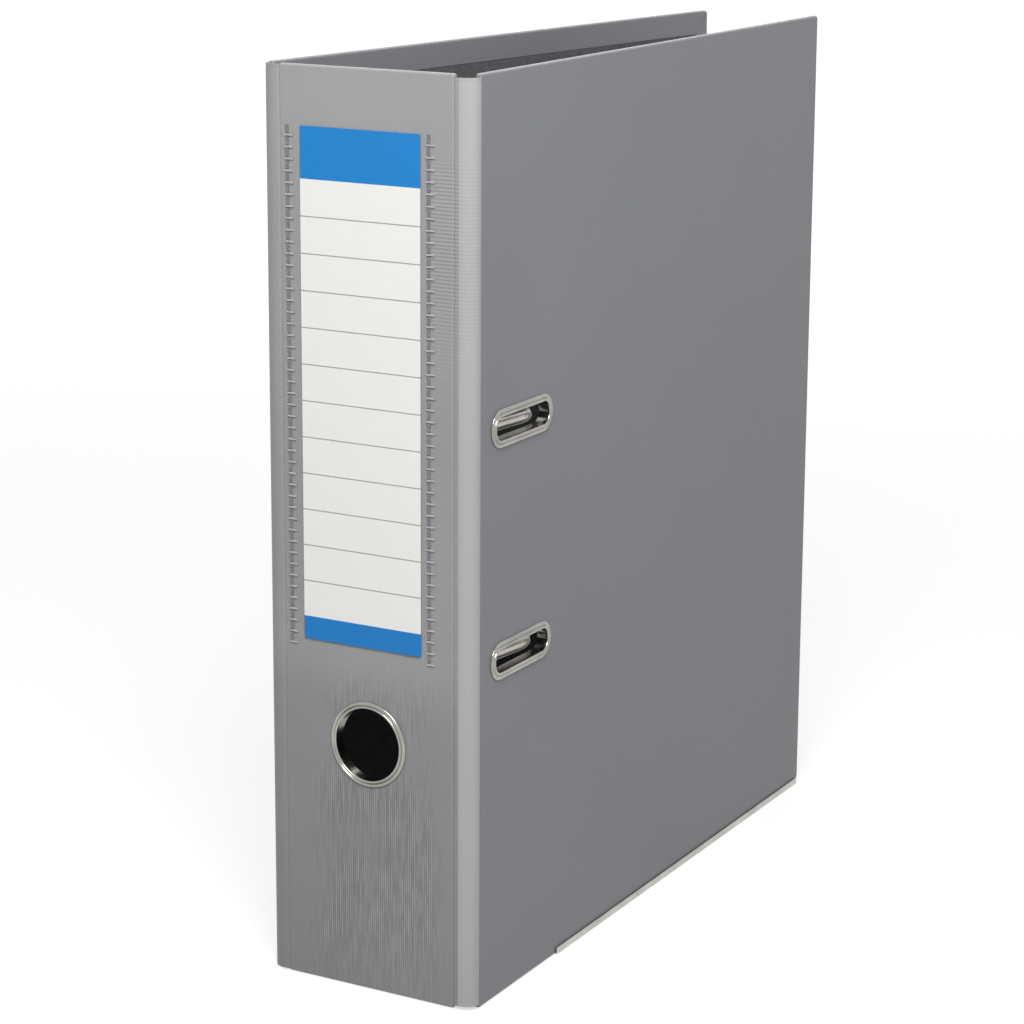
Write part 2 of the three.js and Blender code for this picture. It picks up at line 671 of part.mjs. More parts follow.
const frontCase = new THREE.Group();
frontCase.position.set(FILE_WIDTH / 2, HINGE_DEPTH, 0);
frontCase.rotation.z = FRONT_LEAN;
frontCase.add(mesh("front_cover", coverBoard(-1, slotHoles()), foil));
frontCase.add(mesh("front_lining", coverLining(-1, slotHoles()), liningPaper));
frontCase.add(mesh("front_edge_strip", edgeStrip(-1), nickel));
["slot_ring_upper", "slot_ring_lower"].forEach((name, i) => {
    frontCase.add(mesh(name, slotRing(), nickel, 0, SLOT_MIDDLE, SLOT_HEIGHTS[i]));
});

const rearCase = new THREE.Group();
rearCase.position.set(-FILE_WIDTH / 2, HINGE_DEPTH, 0);
rearCase.rotation.z = -REAR_LEAN;
rearCase.add(mesh("rear_cover", coverBoard(1, rivetHoles()), foil));
rearCase.add(mesh("rear_lining", coverLining(1, rivetHoles()), liningPaper));
rearCase.add(mesh("rear_edge_strip", edgeStrip(1), nickel));
RIVET_PLACES.forEach(([y, z], i) => {
    rearCase.add(mesh(`rivet_${i + 1}`, rivet(), nickel, 0, y, MECHANISM_HEIGHT + z));
});

const mechanism = new THREE.Group();
mechanism.position.set(STACK, 0, MECHANISM_HEIGHT);
mechanism.add(mesh("base_plate", basePlate(), nickel));
["post_upper", "post_lower"].forEach((name, i) => {
    mechanism.add(mesh(name, post(), nickel, PLATE_TOP + GAP, POST_OFFSET, ARCH_HEIGHTS[i]));
});
mechanism.add(mesh("arch_wire", archWire(), nickel, SHAFT_HEIGHT, SHAFT_OFFSET, 0));
mechanism.add(mesh("lever", lever(), nickel, LEVER_PIVOT_HEIGHT, LEVER_PIVOT_OFFSET, 0));
const leverPin = headedPin(LEVER_WIDTH / 2 + LEVER_METAL + 2 * GAP);
mechanism.add(mesh("lever_pin", leverPin, nickel, LEVER_PIVOT_HEIGHT, LEVER_PIVOT_OFFSET, 0));
mechanism.add(mesh("lever_roller", roller(), nickel, ROLLER_HEIGHT, LEVER_ROLLER_OFFSET, 0));
const rollerPin = headedPin(LEVER_WIDTH / 2 + GAP);
mechanism.add(mesh("roller_pin", rollerPin, nickel, ROLLER_HEIGHT, LEVER_ROLLER_OFFSET, 0));
mechanism.add(mesh("paper_clamp", clampBar(), nickel, 0, POST_OFFSET, 0));
rearCase.add(mechanism);

const spine = new THREE.Group();
spine.add(mesh("spine_panel", spineBoard(), foil));
spine.add(mesh("spine_lining", spineLining(), liningPaper));
spine.add(mesh("finger_ring", fingerRing(), nickel, 0, 0, FINGER_HEIGHT));
spine.add(mesh("label_card", labelCard(), card));
spine.add(mesh("label_pocket", labelPocket(), film));
spine.add(mesh("front_hinge_strip", hingeStrip(1), hingeFoil, 0, 0, HINGE_SETBACK));
spine.add(mesh("rear_hinge_strip", hingeStrip(-1), hingeFoil, 0, 0, HINGE_SETBACK));

binder.add(frontCase, rearCase, spine);

// The origin lies at the middle of the base.
const box = new THREE.Box3().setFromObject(binder, true);
const centre = box.getCenter(new THREE.Vector3());
binder.position.set(-centre.x, -centre.y, -box.min.z);

export default binder;
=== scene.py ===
# %% [markdown]
# # A lever arch file, dressed in Blender
# The file is a grey board case with a nickel mechanism inside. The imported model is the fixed
# frame: it already holds every piece at its real size and place, and it knows how they move.
# This lesson adds what a maker of such files would look at next: soft edges where plastic foil
# is wrapped round board, the bent hinge strips, the welded label pocket, and the finishes.

import json
import math
from contextlib import contextmanager

import bmesh
import bpy
from mathutils import Matrix, Vector

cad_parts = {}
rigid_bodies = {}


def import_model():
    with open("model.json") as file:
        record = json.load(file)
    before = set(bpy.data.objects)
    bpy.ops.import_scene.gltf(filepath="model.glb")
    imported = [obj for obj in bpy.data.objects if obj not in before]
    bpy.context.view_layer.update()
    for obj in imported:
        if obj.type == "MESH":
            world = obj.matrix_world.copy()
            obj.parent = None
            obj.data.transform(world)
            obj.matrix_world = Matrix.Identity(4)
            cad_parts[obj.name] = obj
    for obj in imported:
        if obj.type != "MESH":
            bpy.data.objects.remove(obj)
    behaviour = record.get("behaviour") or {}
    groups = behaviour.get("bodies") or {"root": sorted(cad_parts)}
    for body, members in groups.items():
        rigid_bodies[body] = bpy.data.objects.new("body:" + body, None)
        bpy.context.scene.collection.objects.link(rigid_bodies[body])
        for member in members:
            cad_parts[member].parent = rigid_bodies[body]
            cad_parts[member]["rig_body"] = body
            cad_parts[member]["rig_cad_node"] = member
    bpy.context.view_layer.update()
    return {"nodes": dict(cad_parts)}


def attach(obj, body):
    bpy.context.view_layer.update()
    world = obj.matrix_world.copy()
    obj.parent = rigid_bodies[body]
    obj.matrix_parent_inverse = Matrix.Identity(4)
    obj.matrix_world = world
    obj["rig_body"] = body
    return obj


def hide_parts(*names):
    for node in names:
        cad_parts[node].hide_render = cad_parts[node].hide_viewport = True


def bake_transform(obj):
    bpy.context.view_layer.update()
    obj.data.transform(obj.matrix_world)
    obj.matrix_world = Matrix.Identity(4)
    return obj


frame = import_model()

# %% [markdown]
# ## Sizes
# A case maker works in millimetres, and Blender in metres, so the sizes are written in
# millimetres and one helper turns them. The covers lean a little towards each other, so each is
# modelled flat, with its outside face at x = 0 and its hinge edge at y = 0, and is stood in its
# place at the end.

# %% Sizes of the case
MM = 0.001
HEIGHT = 318.0
COVER_LENGTH = 280.5
SPINE_WIDTH = 68.0
BOARD = 2.0
HEM = 0.3
HEM_WIDTH = 9.0
SPINE_PLACE = Vector((-0.2925, -141.8578, 0.0))
FRONT_HINGE_EDGE = Vector((41.2075, -137.0578, 0.0))
REAR_HINGE_EDGE = Vector((-41.7925, -137.0578, 0.0))


def standing(edge, lean=0.0):
    """Where a flat-modelled piece stands: its edge's place in mm, and its lean in degrees."""
    return Matrix.Translation(edge * MM) @ Matrix.Rotation(math.radians(lean), 4, "Z")


IN_SPINE = standing(SPINE_PLACE)
IN_FRONT = standing(FRONT_HINGE_EDGE, 3.0)
IN_REAR = standing(REAR_HINGE_EDGE, -3.5)
print("spine face at y =", round(IN_SPINE.translation.y, 5))

# %% [markdown]
# ## Working by hand, in code
# Everything below is done with the operators that a modeller clicks: add a primitive, enter edit
# mode, select something, move or bevel it, leave edit mode, apply a modifier. A few small helpers
# keep that readable. An operator works on whatever is selected, so each one starts by deselecting
# everything else.


# %% Selecting, editing and finishing
def only(obj):
    bpy.ops.object.select_all(action="DESELECT")
    obj.select_set(True)
    bpy.context.view_layer.objects.active = obj


@contextmanager
def editing(obj):
    only(obj)
    bpy.ops.object.mode_set(mode="EDIT")
    yield
    bpy.ops.object.mode_set(mode="OBJECT")


def select(kind, test):
    """Selects vertices, edges or faces by their middle (in mm) and their direction or normal."""
    bpy.ops.mesh.select_mode(type=kind)
    bpy.ops.mesh.select_all(action="DESELECT")
    mesh = bpy.context.object.data
    shape = bmesh.from_edit_mesh(mesh)
    if kind == "VERT":
        parts = [(v, v.co, v.normal) for v in shape.verts]
    elif kind == "EDGE":
        ends = [(e, e.verts[0].co, e.verts[1].co) for e in shape.edges]
        parts = [(e, (a + b) / 2, (b - a).normalized()) for e, a, b in ends]
    else:
        parts = [(f, f.calc_center_median(), f.normal) for f in shape.faces]
    for part, middle, direction in parts:
        if test(middle / MM, direction):
            part.select_set(True)
    shape.select_flush_mode()
    bmesh.update_edit_mesh(mesh)


def move(x=0.0, y=0.0, z=0.0):
    bpy.ops.transform.translate(value=(x * MM, y * MM, z * MM))


def cut_line(point, normal):
    """Cuts a line of edges across the whole piece, without taking anything away."""
    bpy.ops.mesh.select_all(action="SELECT")
    bpy.ops.mesh.bisect(plane_co=Vector(point) * MM, plane_no=normal)


def finish_with(obj, kind, **settings):
    """Adds a modifier, sets it and applies it."""
    only(obj)
    modifier = obj.modifiers.new(kind.lower(), kind)
    for name, value in settings.items():
        setattr(modifier, name, value)
    bpy.ops.object.modifier_apply(modifier=modifier.name)


def place(obj, matrix):
    """Stands a flat-modelled piece in its place, and puts that place into its mesh."""
    only(obj)
    obj.matrix_world = matrix
    bpy.ops.object.transform_apply(location=True, rotation=True, scale=True)


def smooth(obj, angle=35.0):
    """Rounds the shading over soft edges, and keeps the large flat faces flat."""
    only(obj)
    bpy.ops.object.shade_smooth_by_angle(angle=math.radians(angle))
    finish_with(obj, "WEIGHTED_NORMAL", keep_sharp=True, weight=60)


def block(name, low, high):
    """A box between two corners in mm."""
    bpy.ops.object.select_all(action="DESELECT")
    middle = [(a + b) / 2 * MM for a, b in zip(low, high)]
    size = [(b - a) * MM for a, b in zip(low, high)]
    bpy.ops.mesh.primitive_cube_add(size=1, location=middle, scale=size)
    bpy.ops.object.transform_apply(location=True, rotation=True, scale=True)
    bpy.context.object.name = name
    return bpy.context.object


def carve(obj, cutter):
    """Takes the cutter's shape away from a piece, and then the cutter."""
    finish_with(obj, "BOOLEAN", operation="DIFFERENCE", object=cutter, solver="EXACT")
    bpy.data.objects.remove(cutter)


# %% [markdown]
# ## Shader maths
# A finish is a small sum of patterns: a base colour, a slow drift in tone, a fine grain that also
# lifts the surface. In the foils, part of that drift is painted light: lighter towards the top.
# Wiring Math nodes by hand hides that sum, so a number inside a material is wrapped in a class
# whose plus, minus and times add the nodes. Colours go through Mix nodes, because a Math node
# would turn them grey.


# %% A number in a material, and a finish
class Amount:
    def __init__(self, finish, socket):
        self.finish = finish
        self.socket = socket

    def maths(self, operation, first, second=0.0):
        return self.finish.node("ShaderNodeMath", {"operation": operation}, {0: first, 1: second})

    def __add__(self, other):
        return self.maths("ADD", self, other)

    __radd__ = __add__

    def __mul__(self, other):
        return self.maths("MULTIPLY", self, other)

    __rmul__ = __mul__

    def __sub__(self, other):
        return self.maths("SUBTRACT", self, other)

    def __rsub__(self, other):
        return self.maths("SUBTRACT", other, self)

    def __truediv__(self, other):
        return self.maths("DIVIDE", self, other)

    def near(self, step):
        """Distance to the nearest whole multiple of a step."""
        return self.maths("PINGPONG", self, step / 2)

    def rise(self, start, end):
        """0 before start and 1 after end, with a soft climb between them."""
        settings = {"interpolation_type": "SMOOTHSTEP"}
        ends = {"Value": self, "From Min": start, "From Max": end}
        return self.finish.node("ShaderNodeMapRange", settings, ends)


def linear(red, green, blue):
    """A colour as it is picked from a screen, 0 to 255, in the light values that shaders use."""
    shares = [value / 255 for value in (red, green, blue)]
    return (*[s / 12.92 if s <= 0.04045 else ((s + 0.055) / 1.055) ** 2.4 for s in shares], 1.0)


class Finish:
    def __init__(self, name, **fixed):
        self.material = bpy.data.materials.new(name)
        self.material.use_nodes = True
        self.tree = self.material.node_tree
        self.shader = self.tree.nodes["Principled BSDF"]
        for socket, value in fixed.items():
            self.shader.inputs[socket.replace("_", " ")].default_value = value
        self.object_place = self.tree.nodes.new("ShaderNodeTexCoord").outputs["Object"]

    def node(self, kind, settings=None, inputs=None, output=0):
        made = self.tree.nodes.new(kind)
        for name, value in (settings or {}).items():
            setattr(made, name, value)
        for name, value in (inputs or {}).items():
            socket = made.inputs[name]
            if isinstance(value, Amount):
                self.tree.links.new(value.socket, socket)
            elif isinstance(value, bpy.types.NodeSocket):
                self.tree.links.new(value, socket)
            else:
                socket.default_value = value
        return Amount(self, made.outputs[output])

    def along(self, axis):
        """How far a point lies along X, Y or Z, in metres."""
        return self.node("ShaderNodeSeparateXYZ", {}, {0: self.object_place}, "XYZ".index(axis))

    def grain(self, scale, stretch=(1, 1, 1), detail=2.0):
        """Cloudy noise, 0 to 1. Scale counts clouds per metre, and stretch changes it by axis."""
        spread = self.node("ShaderNodeMapping", {}, {"Vector": self.object_place, "Scale": stretch})
        sockets = {"Vector": spread, "Scale": scale, "Detail": detail}
        return self.node("ShaderNodeTexNoise", {}, sockets)

    def blend(self, share, first, second):
        """A colour between two colours."""
        sockets = {0: share, 6: first, 7: second}
        return self.node("ShaderNodeMix", {"data_type": "RGBA"}, sockets, 2)

    def drive(self, socket, value):
        self.tree.links.new(value.socket, self.shader.inputs[socket])

    def lift(self, height, depth):
        """Lifts the surface by a pattern of 0 to 1 whose full height is depth mm."""
        sockets = {"Height": height, "Distance": depth * MM, "Strength": 1.0}
        self.drive("Normal", self.node("ShaderNodeBump", {}, sockets))


print("colour of mid grey:", [round(v, 3) for v in linear(128, 128, 128)[:3]])

# %% [markdown]
# ## Foil
# The boards are wrapped in grey plastic foil: satin, embossed with a grain of well under a
# millimetre, and a little worn and lighter where it turns over an edge. The grain is what keeps
# a big plain cover from looking like a flat computer face, so it goes both into the bump and,
# faintly, into the colour and the roughness. A foil with a stronger emboss hands in the lines of
# it, which make the surface darker and lighter as well as lower and higher.

# %% Foil of the covers
FOIL_DARK = linear(125, 126, 130)
FOIL_LIGHT = linear(139, 140, 144)
FOIL_WORN = linear(166, 167, 169)
WORN_BAND = 1.1 * MM
TOP = HEIGHT * MM


def foil_finish(name, dark, light, rough=0.42, emboss=None):
    foil = Finish(name, IOR=1.46, Specular_IOR_Level=0.3)
    fine = foil.grain(1900.0, detail=3.0)
    cloud = foil.grain(14.0, detail=1.0)
    z = foil.along("Z")
    # Painted light: the z term draws the foil lighter towards the top, where more light falls.
    tone = cloud * 0.5 + fine * 0.3 + z * 0.9 - 0.05
    height = fine * 0.5
    if emboss:
        lines = emboss(foil)
        tone = tone * 0.56 + 0.34 + lines * 0.62
        height = height + lines * 1.6
    colour = foil.blend(tone.rise(0.0, 1.0), dark, light)
    edges = z.rise(TOP - WORN_BAND, TOP) + (1 - z.rise(0.0, WORN_BAND))
    worn = edges * foil.grain(600.0).rise(0.35, 0.65) * 0.5
    foil.drive("Base Color", foil.blend(worn, colour, FOIL_WORN))
    foil.drive("Roughness", fine * 0.12 + cloud * 0.08 + (rough - 0.1))
    foil.lift(height, 0.012)
    return foil.material


cover_foil = foil_finish("grey_cover_foil", FOIL_DARK, FOIL_LIGHT)
print("finish made:", cover_foil.name)

# %% [markdown]
# ## Foil of the spine
# On the spine the emboss shows more: fine upright threads below the label, and fine level
# lines beside its upper end. A thread is the distance to the nearest multiple of the threads'
# pitch, so the threads are as regular as a real emboss. Streaks of noise make some of them
# stronger than others, and each kind fades in and out by its place, in metres.


# %% Foil of the spine, with its threads
UPRIGHT_PITCH = 0.85 * MM
LEVEL_PITCH = 1.25 * MM
LEFT_FADE, RIGHT_FADE = (-0.034, -0.012), (0.022, 0.033)
FOOT_FADE, LABEL_FADE = (-0.02, 0.03), (0.1, 0.122)
LINES_FADE_IN, LINES_FADE_OUT, LINES_LEFT = (0.205, 0.26), (0.282, 0.294), (0.021, 0.027)


def threads(place, pitch):
    """0 between two threads and 1 on a thread."""
    return place.near(pitch) * (2 / pitch)


def level_lines(foil):
    """Level lines from dark to light, and how much they show at a height."""
    z = foil.along("Z")
    shown = z.rise(*LINES_FADE_IN) * (1 - z.rise(*LINES_FADE_OUT))
    return threads(z, LEVEL_PITCH) * 1.6 - 0.8, shown


def spine_threads(foil):
    x, z = foil.along("X"), foil.along("Z")
    streaks = foil.grain(1.0, (900.0, 1.0, 90.0)).rise(0.3, 0.7)
    upright = threads(x, UPRIGHT_PITCH) * (streaks + 0.5) * 1.2 - 0.75
    patches = (foil.grain(24.0, detail=1.0) + (0.075 - z) * 1.6).rise(0.38, 0.6)
    middle = x.rise(*LEFT_FADE) * (1 - x.rise(*RIGHT_FADE)) * z.rise(*FOOT_FADE)
    below = 1 - z.rise(*LABEL_FADE)
    level, shown = level_lines(foil)
    beside = shown * x.rise(*LINES_LEFT)
    # Painted shade: below the label the foil is drawn darker, for the shade in its threads and on
    # the lower spine.
    return upright * middle * below * patches * 0.7 + level * beside * 0.5 - below * 0.2


SPINE_DARK, SPINE_LIGHT = linear(116, 116, 117), linear(164, 164, 164)
spine_foil = foil_finish("grey_spine_foil", SPINE_DARK, SPINE_LIGHT, 0.4, spine_threads)
print("finish made:", spine_foil.name)

# %% [markdown]
# ## Foil of the hinges
# Where the foil has no board behind it, it is stretched round the corner, which makes it glossier.
# Its lighter colour is painted light, for the light that falls on the bend, and the level lines
# beside the label run on across it.


# %% Foil of the hinges
def hinge_lines(foil):
    level, shown = level_lines(foil)
    return level * (shown * 0.35 + 0.03) + 0.35


# Painted light: the hinge foil is a lighter copy of the foil, for the light on the bend.
HINGE_DARK, HINGE_LIGHT = linear(130, 130, 131), linear(174, 174, 175)
hinge_foil = foil_finish("hinge_foil_painted_lighter", HINGE_DARK, HINGE_LIGHT, 0.36, hinge_lines)
print("finish made:", hinge_foil.name)

# %% [markdown]
# ## Lining paper
# The inside of the case is papered in matt grey. Paper is fibres: short pale and dark flecks
# in every direction, and no gloss. Two noises of different scale make the flecks.


# %% Lining paper
def paper_finish():
    paper = Finish("grey_lining_paper", Specular_IOR_Level=0.25)
    fibres = paper.grain(1.0, (900.0, 260.0, 900.0), 3.0)
    flecks = paper.grain(2400.0, detail=1.0)
    tone = (fibres * 0.7 + flecks * 0.4).rise(0.3, 0.8)
    dark, light = linear(86, 87, 90), linear(106, 106, 109)
    paper.drive("Base Color", paper.blend(tone, dark, light))
    paper.drive("Roughness", 0.8 + flecks * 0.12)
    paper.lift(fibres + flecks, 0.02)
    return paper.material


lining_paper = paper_finish()
print("finish made:", lining_paper.name)

# %% [markdown]
# ## Nickel
# Rings, wire and mechanism are nickel-plated steel: a warm white metal. Pressed and drawn
# parts keep fine lines from the tool, so one finish has them along the height. The one for
# turned rings is only slightly uneven, and the bent wire is the dullest of the three.


# %% Nickel, smooth and drawn
def nickel_finish(name, rough, stretch, depth, bright):
    nickel = Finish(name, Metallic=1.0, Roughness=rough)
    lines = nickel.grain(1.0, stretch, 3.0)
    haze = nickel.grain(90.0, detail=2.0)
    tones = [linear(bright + step, bright + step - 2, bright + step - 8) for step in (-40, -20, 0)]
    colour = nickel.blend(haze.rise(0.3, 0.75), tones[1], tones[2])
    nickel.drive("Base Color", nickel.blend(lines.rise(0.5, 0.8) * 0.25, colour, tones[0]))
    nickel.drive("Roughness", haze * 0.1 + lines * 0.12 + (rough - 0.1))
    nickel.lift(lines, depth)
    return nickel.material


ring_nickel = nickel_finish("ring_nickel", 0.2, (700.0, 700.0, 700.0), 0.002, 172)
drawn_nickel = nickel_finish("drawn_nickel", 0.28, (1600.0, 1600.0, 60.0), 0.004, 192)
wire_nickel = nickel_finish("wire_nickel", 0.4, (900.0, 900.0, 900.0), 0.003, 214)
print("finishes made:", ring_nickel.name, drawn_nickel.name, wire_nickel.name)

# %% [markdown]
# ## Printed label card
# The card is white, ruled with eleven thin grey lines into twelve rows, between a tall blue
# band at the top and a low one at the bottom. The print follows the height, so it is worked out
# from Z, in mm: a ruled line is where the distance to the nearest multiple of the row's height
# is tiny, and none is ruled where a row meets a band.

# %% Label card
LABEL_BOTTOM = 123.0
LABEL_TOP = 298.0
LOW_BAND_TOP = 131.0
HIGH_BAND_FOOT = 280.5
ROWS = 12
LINE = 0.2
RULE_GREY = linear(120, 120, 116)
RULE_STRENGTH = 0.75


def step(place, at, width=0.1):
    """0 below a place and 1 above it, with a clean printed edge."""
    return place.rise(at - width / 2, at + width / 2)


def card_finish():
    card = Finish("printed_label_card", Specular_IOR_Level=0.2)
    z = card.along("Z") / MM
    row = (HIGH_BAND_FOOT - LOW_BAND_TOP) / ROWS
    line = 1 - (z - LOW_BAND_TOP).near(row).rise(LINE * 0.7, LINE * 1.3)
    inside = step(z, LOW_BAND_TOP + 1.05) * (1 - step(z, HIGH_BAND_FOOT - 1.05))
    fibres = card.grain(1500.0, detail=2.0)
    white = card.blend(fibres.rise(0.3, 0.7), linear(236, 235, 231), linear(240, 239, 235))
    ruled = card.blend(line * inside * RULE_STRENGTH, white, RULE_GREY)
    # Painted light: the blue is drawn a little lighter towards the top.
    blue = card.blend(z.rise(LABEL_BOTTOM, LABEL_TOP), linear(2, 121, 196), linear(4, 127, 200))
    printed = (1 - step(z, LOW_BAND_TOP)) + step(z, HIGH_BAND_FOOT)
    card.drive("Base Color", card.blend(printed, ruled, blue))
    card.drive("Roughness", 0.45 - printed * 0.1 + fibres * 0.08)
    card.lift(fibres, 0.003)
    return card.material


label_print = card_finish()
print("rows on the label:", ROWS)

# %% [markdown]
# ## Clear film
# The pocket is clear film. It barely tints what lies behind it, but it shines. A low
# alpha with a smooth surface gives that, and a slow unevenness keeps its reflection alive.


# %% Clear film and its welds
def film_finish():
    film = Finish("clear_pocket_film", Base_Color=linear(200, 202, 204), Alpha=0.015, IOR=1.48)
    waves = film.grain(40.0, (1.0, 1.0, 0.4), 1.0)
    film.drive("Roughness", 0.12 + waves * 0.1)
    film.lift(waves, 0.05)
    return film.material


def weld_finish(name, dark, light):
    weld = Finish(name, IOR=1.48, Roughness=0.3)
    fine = weld.grain(1700.0, detail=2.0)
    weld.drive("Base Color", weld.blend(fine.rise(0.3, 0.7), dark, light))
    weld.drive("Roughness", 0.24 + fine * 0.14)
    weld.lift(fine, 0.01)
    return weld.material


clear_film = film_finish()
# Painted light and shade: the raised weld is a lighter, lit copy and the pressed weld a darker,
# shaded copy of one weld finish.
raised_weld_painted_light = weld_finish("raised_weld_painted_light", linear(158, 158, 160), linear(186, 186, 187))
pressed_weld_painted_shade = weld_finish("pressed_weld_painted_shade", linear(106, 106, 109), linear(130, 130, 132))
print("finishes made:", clear_film.name, raised_weld_painted_light.name, pressed_weld_painted_shade.name)


# %% [markdown]
# ## Handing a piece over
# Each finished piece gets its material, rides on the body that carries it, and stands for the
# plain solid that it replaces.


# %% Handing a piece over
def hand_over(obj, material, body, slot, *nodes):
    obj.data.materials.clear()
    obj.data.materials.append(material)
    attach(obj, body)
    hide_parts(*nodes)
    print(obj.name, "rides on", body, "with", len(obj.data.polygons), "faces")


# %% [markdown]
# ## Covers
# A cover is a 2 mm board in foil. The foil turns over the edges, so they are round, and it
# is glued down inside as a hem 9 mm wide, mitred at the corners. A box is the start. Its fore-edge
# corner and then all its edges are bevelled, and the recess inside the hem, the mitres and the
# holes are carved. Bevelling first keeps the small carved edges from limiting the round ones.

# %% A covered board
STRIP_START = 57.0
STRIP_LIFT = 0.8
STRIP_SLOPE = 1.4
CORNER = 3.0
TOP_CORNER = 1.6
EDGE_ROUND = 0.7
CUT_PAST = 4.0
MITRE_START, MITRE_END, MITRE_WIDTH = -9.0, 14.0, 0.3


def recess(board, low, high, inward):
    """Takes the hem's thickness off the inner face between two corners."""
    near, far = sorted((inward * BOARD, inward * (BOARD + CUT_PAST)))
    carve(board, block("window", (near, *low), (far, *high)))


def mitres(board, inward):
    """Cuts a fine groove where two hems meet, at both corners of the fore-edge."""
    near, far = sorted((inward * BOARD, inward * (BOARD + CUT_PAST)))
    side = MITRE_WIDTH / 2
    for z, turn in ((0.0, 135.0), (HEIGHT, 225.0)):
        groove = block("groove", (near, MITRE_START, -side), (far, MITRE_END, side))
        corner = Matrix.Translation(Vector((0, COVER_LENGTH, z)) * MM)
        place(groove, corner @ Matrix.Rotation(math.radians(turn), 4, "X"))
        carve(board, groove)


def cover(name, inward):
    """A covered board. Inward is 1 or -1, the side of x = 0 on which its inside lies."""
    near, far = sorted((0.0, inward * (BOARD + HEM)))
    fore_edge = COVER_LENGTH - 0.1
    board = block(name, (near, 0.0, 0.0), (far, COVER_LENGTH, HEIGHT))
    with editing(board):
        cut_line((0, STRIP_START, 0), (0, 1, 0))
        cut_line((0, STRIP_START + STRIP_SLOPE, 0), (0, 1, 0))
        select("VERT", lambda at, n: at.z < 0.1 and at.y > STRIP_START + STRIP_SLOPE / 2)
        move(z=STRIP_LIFT)
        select("EDGE", lambda at, n: at.y > fore_edge and at.z < 2 and abs(n.x) > 0.9)
        bpy.ops.mesh.bevel(offset=CORNER * MM, segments=8, affect="EDGES")
        select("EDGE", lambda at, n: at.y > fore_edge and at.z > HEIGHT - 1 and abs(n.x) > 0.9)
        bpy.ops.mesh.bevel(offset=TOP_CORNER * MM, segments=5, affect="EDGES")
        bpy.ops.mesh.select_all(action="DESELECT")
        bpy.ops.mesh.edges_select_sharp(sharpness=math.radians(40))
        bpy.ops.mesh.bevel(offset=EDGE_ROUND * MM, segments=5, affect="EDGES")
    return board


# %% [markdown]
# ## Slots
# The front cover has two slots, through which the arches can be seen. A slot is a round hole
# pulled apart: the cutter starts as a cylinder, and its two halves are moved away from each other.

# %% Slots and the front cover
SLOT_MIDDLE = 29.1
SLOT_LENGTH = 40.0
SLOT_HEIGHT = 9.4
SLOT_PLACES = {"upper": 200.0, "lower": 120.0}
THROUGH_COVER = (0, math.radians(90), 0)
COVER_WINDOW = ((-9.0, HEM_WIDTH), (COVER_LENGTH - HEM_WIDTH, HEIGHT - HEM_WIDTH))


def round_cutter(radius, sides, at, turn):
    """A cylinder at a place in mm, long enough to go right through a board."""
    bpy.ops.object.select_all(action="DESELECT")
    bpy.ops.mesh.primitive_cylinder_add(
        vertices=sides, radius=radius * MM, depth=20 * MM,
        location=[value * MM for value in at], rotation=turn)
    return bpy.context.object


def pull_apart(y, half):
    """Moves the two halves of what is being edited away from each other along the cover."""
    select("VERT", lambda at, n: at.y > y)
    move(y=half)
    select("VERT", lambda at, n: at.y <= y)
    move(y=-half)


def slot_cutter(z):
    cutter = round_cutter(SLOT_HEIGHT / 2, 64, (0, SLOT_MIDDLE, z), THROUGH_COVER)
    bpy.ops.object.transform_apply(location=True, rotation=True, scale=True)
    with editing(cutter):
        pull_apart(SLOT_MIDDLE, (SLOT_LENGTH - SLOT_HEIGHT) / 2)
    return cutter


front = cover("front_cover_foil", -1)
for slot_z in SLOT_PLACES.values():
    carve(front, slot_cutter(slot_z))
recess(front, *COVER_WINDOW, -1)
mitres(front, -1)
place(front, IN_FRONT)
smooth(front)
hand_over(front, cover_foil, "front_case", "cover_foil", "front_cover")

# %% [markdown]
# ## Rear cover
# The rear cover is the same board without slots. Four rivets pass through it, so it gets
# four small round holes, which the rivets' heads hide.

# %% Rear cover
RIVET_PLACES = [(y, 158.0 + z) for y in (23.0, 52.0) for z in (51.0, -51.0)]
RIVET_HOLE = 2.3

rear = cover("rear_cover_foil", 1)
recess(rear, *COVER_WINDOW, 1)
mitres(rear, 1)
for rivet_y, rivet_z in RIVET_PLACES:
    carve(rear, round_cutter(RIVET_HOLE, 32, (0, rivet_y, rivet_z), THROUGH_COVER))
place(rear, IN_REAR)
smooth(rear)
hand_over(rear, cover_foil, "rear_case", "cover_foil", "rear_cover")

# %% [markdown]
# ## Spine
# The spine is a board of the same build, with a hole for the finger ring. The hem is only at its
# top and bottom, because its long sides run on into the hinges.

# %% Spine panel
FINGER_HEIGHT = 88.8
FINGER_HOLE = 13.3
THROUGH_SPINE = (math.radians(90), 0, 0)

half = SPINE_WIDTH / 2
spine = block("spine_foil_panel", (-half, 0.0, 0.0), (half, BOARD + HEM, HEIGHT))
with editing(spine):
    bpy.ops.mesh.select_all(action="SELECT")
    bpy.ops.mesh.bevel(offset=EDGE_ROUND * MM, segments=5, affect="EDGES")
window_corners = (-40.0, BOARD, HEM_WIDTH), (40.0, BOARD + CUT_PAST, HEIGHT - HEM_WIDTH)
carve(spine, block("window", *window_corners))
carve(spine, round_cutter(FINGER_HOLE, 96, (0, 0, FINGER_HEIGHT), THROUGH_SPINE))
place(spine, IN_SPINE)
smooth(spine)
hand_over(spine, spine_foil, "spine_case", "cover_foil", "spine_panel")

# %% [markdown]
# ## Hinge strips
# Between spine and cover the foil has no board behind it, and bends round the corner when the
# file is opened. The strip starts as a flat grid with one column for each point of its profile,
# and each column is moved to its point. It waits 1 m aside until all are done, so that the next
# column's test can't find it. A weld runs across the strip just below its top and above its foot.
# The flat edge beside the spine keeps the spine's foil, and only the bend is drawn lighter, as
# painted light.

